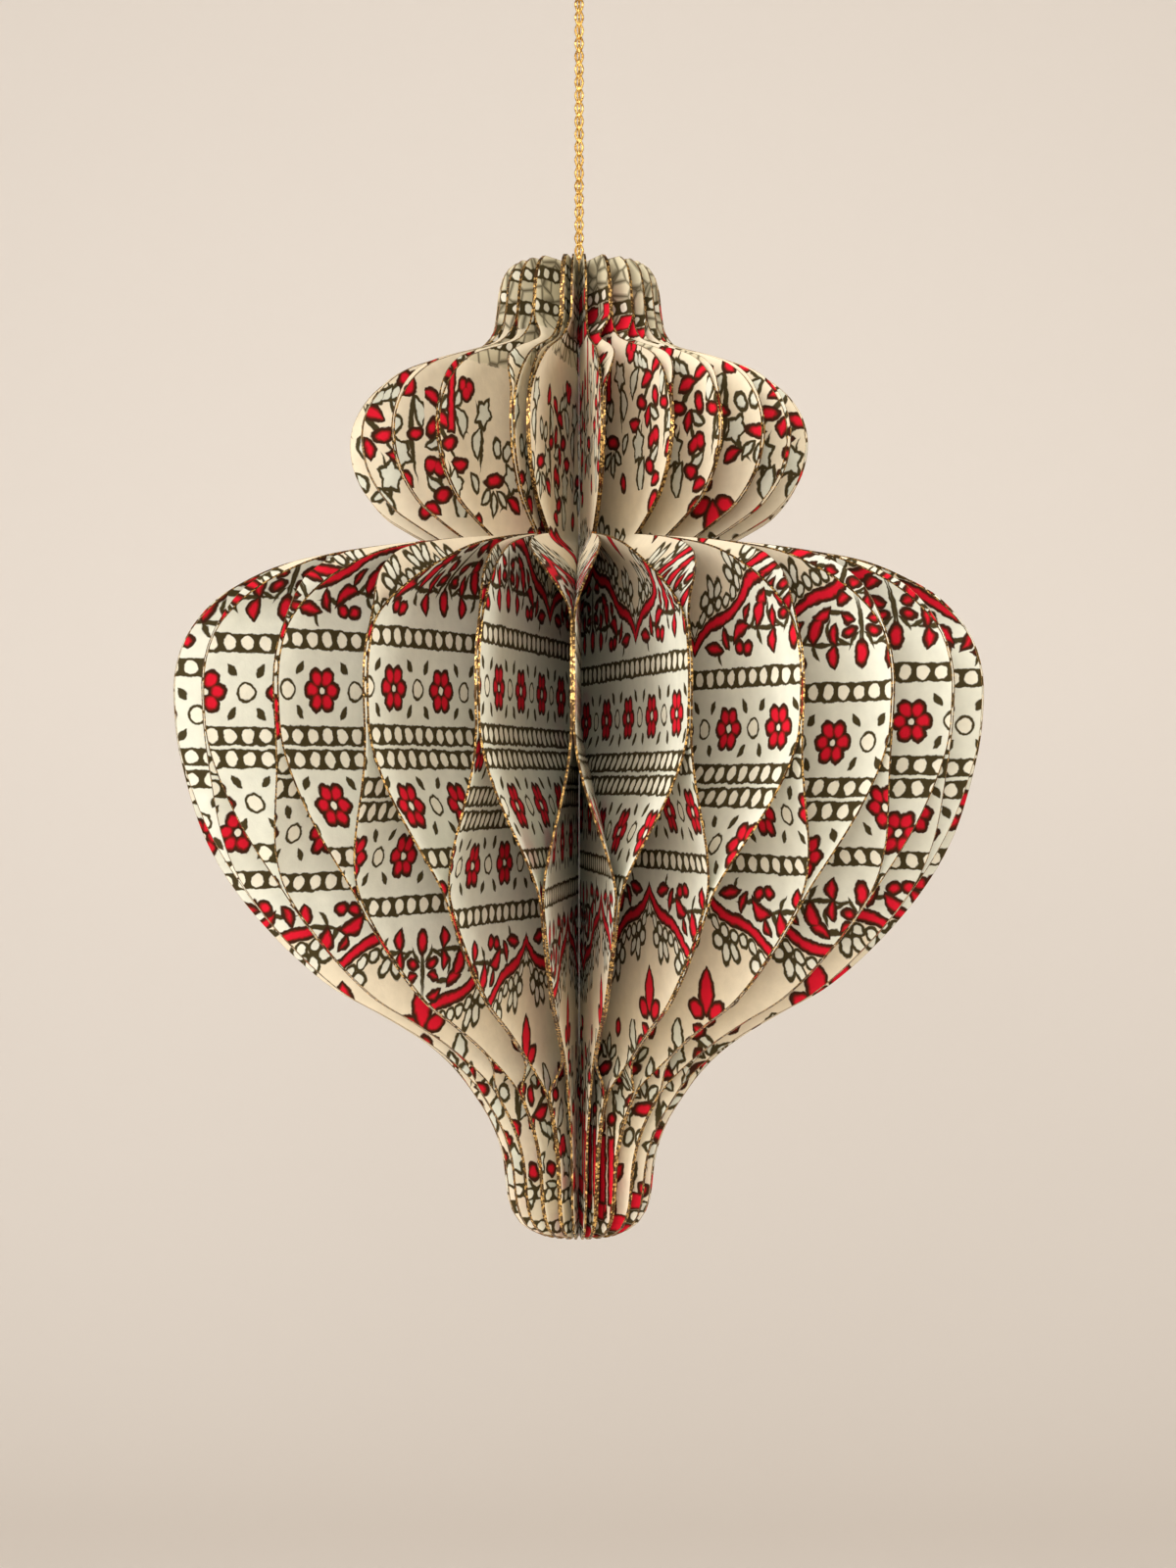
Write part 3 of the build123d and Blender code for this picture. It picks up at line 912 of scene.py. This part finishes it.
bouquetPrint = {
    # all from the ogee's low point: place, half sizes and turn, and the leaves' bend
    "red": [
        (11.2, 60.1, 1.1, 1.0, 120), (9.5, 60.2, 1.1, 1.0, 60), (10.4, 59.1, 1.1, 1.25, 90),
        (4.6, 54.8, 2.1, 1.1, 165, 0.4), (1.4, 56.5, 2.0, 1.0, 150, 0.5),
        (6.4, 51.5, 1.7, 0.95, 15), (4.2, 49.3, 1.7, 0.95, 105, 0.3),
        (1.5, 51.8, 1.5, 0.9, 70), (9.0, 48.5, 2.0, 1.0, 5, 0.4),
        (1.3, 46.2, 1.3, 1.1, 60), (2.7, 45.8, 1.5, 1.0, 140), (3.5, 41.9, 1.5, 1.05, 20),
        (1.6, 39.9, 1.7, 0.95, 160, 0.4), (17.2, 47.0, 2.2, 0.95, 12),
        (22.9, 57.2, 1.7, 1.0, 60, 0.4), (24.0, 50.6, 1.4, 0.85, 20),
        (22.2, 44.0, 1.8, 1.0, 150, 0.4), (13.2, 40.4, 1.3, 0.9, 70),
    ],
    "grey": [
        (8.4, 58.0, 1.6, 0.9, 65, 0.4), (7.0, 57.6, 1.6, 0.9, 55, 0.4),
        (5.6, 57.0, 1.6, 0.9, 45, 0.4), (9.4, 55.1, 2.5, 1.3, 118, 0.7),
        (7.6, 45.4, 2.9, 2.2, 88, "ivy"), (6.9, 40.9, 2.9, 1.3, 102, 0.6),
        (2.0, 43.2, 2.3, 0.9, 150, -0.7), (2.0, 49.4, 1.9, 0.9, 35, 0.5),
        (14.6, 56.6, 2.6, 2.0, 62, "ivy"), (12.9, 52.2, 2.5, 1.2, 80, -0.6),
        (17.9, 51.9, 1.5, 1.0, 100), (20.4, 51.6, 1.5, 1.0, 60),
        (15.3, 44.4, 1.7, 0.85, 48, 0.3), (17.2, 43.5, 1.9, 0.85, 92, 0.3),
        (19.2, 44.5, 1.7, 0.85, 136, 0.3), (24.9, 54.0, 2.4, 1.1, 105, 0.5),
        (21.4, 47.6, 2.6, 2.0, 118, "ivy"), (12.6, 46.4, 1.7, 0.9, 120, 0.4),
    ],
    # more of them where the print runs on at the lower end
    "greyLow": [
        (12.6, 62.8, 2.6, 2.0, 60, "ivy"), (4.0, 62.6, 2.6, 2.0, 105, "ivy"),
        (8.4, 66.6, 2.5, 1.1, 40, 0.6), (15.6, 67.2, 2.5, 1.1, 120, -0.6),
        (0.6, 67.4, 2.4, 1.0, 80, 0.5), (19.0, 61.0, 2.2, 1.0, 75, 0.6),
    ],
    "redLow": [(7.6, 63.6, 1.4, 1.0, 30), (16.4, 63.4, 1.4, 1.0, 120), (1.0, 64.2, 1.4, 1.0, 60)],
    "stems": [
        (4.6, 53.0, 6.2, 0.52, 136, 1.4), (2.9, 45.4, 5.0, 0.50, 88, -1.6),
        (7.3, 44.2, 4.8, 0.46, 98, 1.2), (8.2, 56.4, 4.2, 0.46, 122, -1.4),
        (14.0, 53.2, 5.4, 0.50, 96, 1.8), (23.2, 50.8, 7.4, 0.50, 92, -2.0),
        (20.8, 45.4, 3.6, 0.46, 60, 1.2),
    ],
    # upright red bars on the lobe and at the stem, and red blocks lying across both ends
    "pillar": {"place": (18.8, 58.0), "half": (0.8, 4.9)},
    "lowPillar": {"place": (24.2, 58.5), "half": (0.95, 5.2)},
    "capitals": {"across": 20.6, "levels": (65.0, 70.0), "half": (3.9, 1.2), "rim": 0.24},
    # the net at the neck: where it starts, its cells to a millimetre, and its line in cells
    "net": {"start": 64.0, "scale": 0.34, "line": 0.055},
    "bands": (67.5, 72.7), "bandHalf": 1.05,
    "dotPhase": 0.6, "dotPitch": 2.6, "dot": (0.78, 0.68, 0),
}


def printBouquets(tree, across, up, away, lowPoint, flat):
    # hanging sprays of red berries and grey leaves, and dotted bands near the ends
    values = bouquetPrint
    net = values["net"]
    # distance short of the neck, where a dark net is printed on a duller ground
    short = addNode(
        tree, "ShaderNodeMath", {"operation": "SUBTRACT"},
        {0: net["start"] + printSet["middle"], 1: up},
    )
    past = addNode(
        tree, "ShaderNodeMath", {"operation": "MULTIPLY", "use_clamp": True},
        {0: short, 1: -printSet["groundSharp"]},
    )
    colour = addNode(
        tree, "ShaderNodeMixRGB", {},
        {0: past, 1: linearColour(inkSet["cream"]), 2: linearColour(inkSet["neck"])},
    )
    cell = addNode(
        tree, "ShaderNodeTexVoronoi", {"feature": "DISTANCE_TO_EDGE"},
        {0: flat, "Scale": net["scale"]},
    )
    line = addNode(tree, "ShaderNodeMath", {"operation": "MAXIMUM"}, {0: cell, 1: short})
    colour = layInk(tree, colour, line, "olive", net["line"])
    # the sprays come again in each half period, all facing one way
    side = addNode(tree, "ShaderNodeMath", {"operation": "SUBTRACT"}, {0: lowPoint, 1: across})
    side = addNode(
        tree, "ShaderNodeMath", {"operation": "WRAP"},
        {0: side, 1: printSet["ogeePeriod"] / 2, 2: 0.0},
    )
    plane = addNode(tree, "ShaderNodeCombineXYZ", {}, {0: side, 1: away})
    colour = layInk(tree, colour, stampShapes(tree, plane, values["stems"]), "olive")
    colour = layOutlined(tree, colour, stampShapes(tree, plane, values["grey"]), "grey")
    colour = layRed(tree, colour, stampShapes(tree, plane, values["red"]))
    down = addNode(
        tree, "ShaderNodeMath", {"operation": "SUBTRACT"}, {0: printSet["middle"], 1: up}
    )
    lowPlane = addNode(tree, "ShaderNodeCombineXYZ", {}, {0: side, 1: down})
    colour = layOutlined(tree, colour, stampShapes(tree, lowPlane, values["greyLow"]), "grey")
    colour = layRed(tree, colour, stampShapes(tree, lowPlane, values["redLow"]))
    # the bars and blocks stand on both sides of each low point
    fromLow = mirrorAlong(tree, across, lowPoint, printSet["ogeePeriod"])
    above = addNode(tree, "ShaderNodeMath", {"operation": "MULTIPLY"}, {0: down, 1: -1.0})
    for part, level in (("pillar", above), ("lowPillar", down)):
        pillar = values[part]
        block = boxAround(tree, fromLow, level, pillar["place"], pillar["half"])
        colour = layRed(tree, colour, block)
    capitals = values["capitals"]
    for level in capitals["levels"]:
        place = (capitals["across"], level)
        block = boxAround(tree, fromLow, away, place, capitals["half"])
        colour = layRed(tree, colour, block, capitals["rim"])
    for level in values["bands"]:
        over = addNode(tree, "ShaderNodeMath", {"operation": "SUBTRACT"}, {0: away, 1: level})
        colour = layDotBand(tree, colour, across, over, values)
    return colour


cardSet = {
    # clouding of the card, and the light and dark that it gives
    "mottleScale": 0.45, "mottleDetail": 5.0, "mottle": (0.26, 0.865),
    "fibreScale": 1.6, "fibreDetail": 4.0, "bumpStrength": 0.22, "bumpDepth": 0.0002,
    "roughness": 0.82, "specular": 0.15,
    # the ragged line of gilt along the cut edge, and its grains, whose gold is mixed light and
    # dark as painted glints
    "speckleScale": 3.0, "speckleDetail": 1.0, "giltWidth": 0.07, "giltSharp": 14.0,
    "grainScale": 4.5, "gold": "#B98D45", "goldDark": "#5A3D1A",
    "giltMetallic": 0.8, "giltSmoother": 0.45,
}


def finishCard(tree, colour, millimetres):
    # handmade card: matt, a little mottled, with a soft fibrous grain and gilded edges with
    # painted glints
    values = cardSet
    mottle = addNode(
        tree, "ShaderNodeTexNoise", {},
        {0: millimetres, "Scale": values["mottleScale"], "Detail": values["mottleDetail"]},
    )
    shade = addNode(
        tree, "ShaderNodeMath", {"operation": "MULTIPLY_ADD"},
        {0: mottle, 1: values["mottle"][0], 2: values["mottle"][1]},
    )
    tone = addNode(tree, "ShaderNodeCombineXYZ", {}, {0: shade, 1: shade, 2: shade})
    colour = addNode(
        tree, "ShaderNodeMixRGB", {"blend_type": "MULTIPLY"}, {0: 1.0, 1: colour, 2: tone}
    )
    edgeMap = addNode(tree, "ShaderNodeUVMap", {"uv_map": "edgeMap"}, {})
    edge = addNode(tree, "ShaderNodeSeparateXYZ", {}, {0: edgeMap}, "X")
    speckle = addNode(
        tree, "ShaderNodeTexNoise", {},
        {0: millimetres, "Scale": values["speckleScale"], "Detail": values["speckleDetail"]},
    )
    ragged = addNode(
        tree, "ShaderNodeMath", {"operation": "MULTIPLY"}, {0: speckle, 1: values["giltWidth"]}
    )
    ragged = addNode(
        tree, "ShaderNodeMath", {"operation": "MULTIPLY_ADD"}, {0: edge, 1: -edgeScale, 2: ragged}
    )
    gilt = addNode(
        tree, "ShaderNodeMath", {"operation": "MULTIPLY_ADD", "use_clamp": True},
        {0: ragged, 1: values["giltSharp"], 2: 0.5},
    )
    # painted glints: the gilt's grains are coloured light or dark at random, standing in for
    # grains that catch the light
    grain = addNode(
        tree, "ShaderNodeTexVoronoi", {}, {0: millimetres, "Scale": values["grainScale"]}, "Color"
    )
    glint = addNode(tree, "ShaderNodeRGBToBW", {}, {0: grain})
    gold = addNode(
        tree, "ShaderNodeMixRGB", {},
        {0: glint, 1: linearColour(values["goldDark"]), 2: linearColour(values["gold"])},
    )
    colour = addNode(tree, "ShaderNodeMixRGB", {}, {0: gilt, 1: colour, 2: gold})
    metallic = addNode(
        tree, "ShaderNodeMath", {"operation": "MULTIPLY"}, {0: gilt, 1: values["giltMetallic"]}
    )
    rough = addNode(
        tree, "ShaderNodeMath", {"operation": "MULTIPLY_ADD"},
        {0: gilt, 1: -values["giltSmoother"], 2: values["roughness"]},
    )
    fibres = addNode(
        tree, "ShaderNodeTexNoise", {},
        {0: millimetres, "Scale": values["fibreScale"], "Detail": values["fibreDetail"]},
    )
    closeMaterial(tree, values, fibres, {
        "Base Color": colour, "Metallic": metallic, "Roughness": rough,
        "Specular IOR Level": values["specular"],
    })


def makePrintedCard(name, motif):
    # flat inks with dark rims on warm matt card, which takes the light softly in its folds
    material, tree = startMaterial(name)
    printMap = addNode(tree, "ShaderNodeUVMap", {"uv_map": "printMap"}, {})
    flat = addNode(
        tree, "ShaderNodeVectorMath", {"operation": "SCALE"}, {0: printMap, "Scale": printScale}
    )
    # the block's edges wander by a tenth or two of a millimetre
    wander = addNode(
        tree, "ShaderNodeTexNoise", {},
        {0: flat, "Scale": printSet["wanderScale"], "Detail": printSet["wanderDetail"]},
        "Color",
    )
    wander = addNode(
        tree, "ShaderNodeVectorMath", {"operation": "SUBTRACT"}, {0: wander, 1: (0.5, 0.5, 0.5)}
    )
    wander = addNode(
        tree, "ShaderNodeVectorMath", {"operation": "SCALE"},
        {0: wander, "Scale": printSet["wander"]},
    )
    moved = addNode(tree, "ShaderNodeVectorMath", {"operation": "ADD"}, {0: flat, 1: wander})
    across = addNode(tree, "ShaderNodeSeparateXYZ", {}, {0: moved}, "X")
    up = addNode(tree, "ShaderNodeSeparateXYZ", {}, {0: moved}, "Y")
    away = addNode(
        tree, "ShaderNodeMath", {"operation": "SUBTRACT"}, {0: up, 1: printSet["middle"]}
    )
    away = addNode(tree, "ShaderNodeMath", {"operation": "ABSOLUTE"}, {0: away})
    # the edge map's second value is the ogee's own drift
    drift = addNode(tree, "ShaderNodeUVMap", {"uv_map": "edgeMap"}, {})
    drift = addNode(tree, "ShaderNodeSeparateXYZ", {}, {0: drift}, "Y")
    lowPoint = addNode(
        tree, "ShaderNodeMath", {"operation": "MULTIPLY_ADD"},
        {0: drift, 1: printScale, 2: printSet["ogeeLow"]},
    )
    if motif == "flowers":
        colour = printBands(tree, linearColour(inkSet["paleGreen"]), across, away)
        colour = printFlowerRow(tree, colour, across, away)
    elif motif == "ogee":
        colour = printOgee(tree, across, away, lowPoint)
        colour = printBands(tree, colour, across, away)
    else:
        colour = printBouquets(tree, across, up, away, lowPoint, flat)
    finishCard(tree, colour, flat)
    return material


# glitter powder on glue along the cut edges: coarse grains among dull ones, the bright ones
# painted glints
glitterSet = {
    "grainScale": 3200.0, "glint": (3.2, -1.7), "dull": "#4A3217", "bright": "#E2B56A",
    "bumpStrength": 0.7, "bumpDepth": 0.0002, "metallic": 0.8, "roughness": 0.36,
}

cardMaterials = [
    makePrintedCard("printedCardFlowerRows", "flowers"),
    makePrintedCard("printedCardOgee", "ogee"),
    makePrintedCard("printedCardBouquets", "bouquets"),
    makeGold("glitterOnCutEdge", glitterSet),
]
print("print materials made", [len(m.node_tree.nodes) for m in cardMaterials])

leafBlank = cutBlank()
for leaf in range(leafSet["count"]):
    makeLeaf(leaf, leafBlank, cardMaterials)
bpy.data.objects.remove(leafBlank)
print("leaves bent and printed")
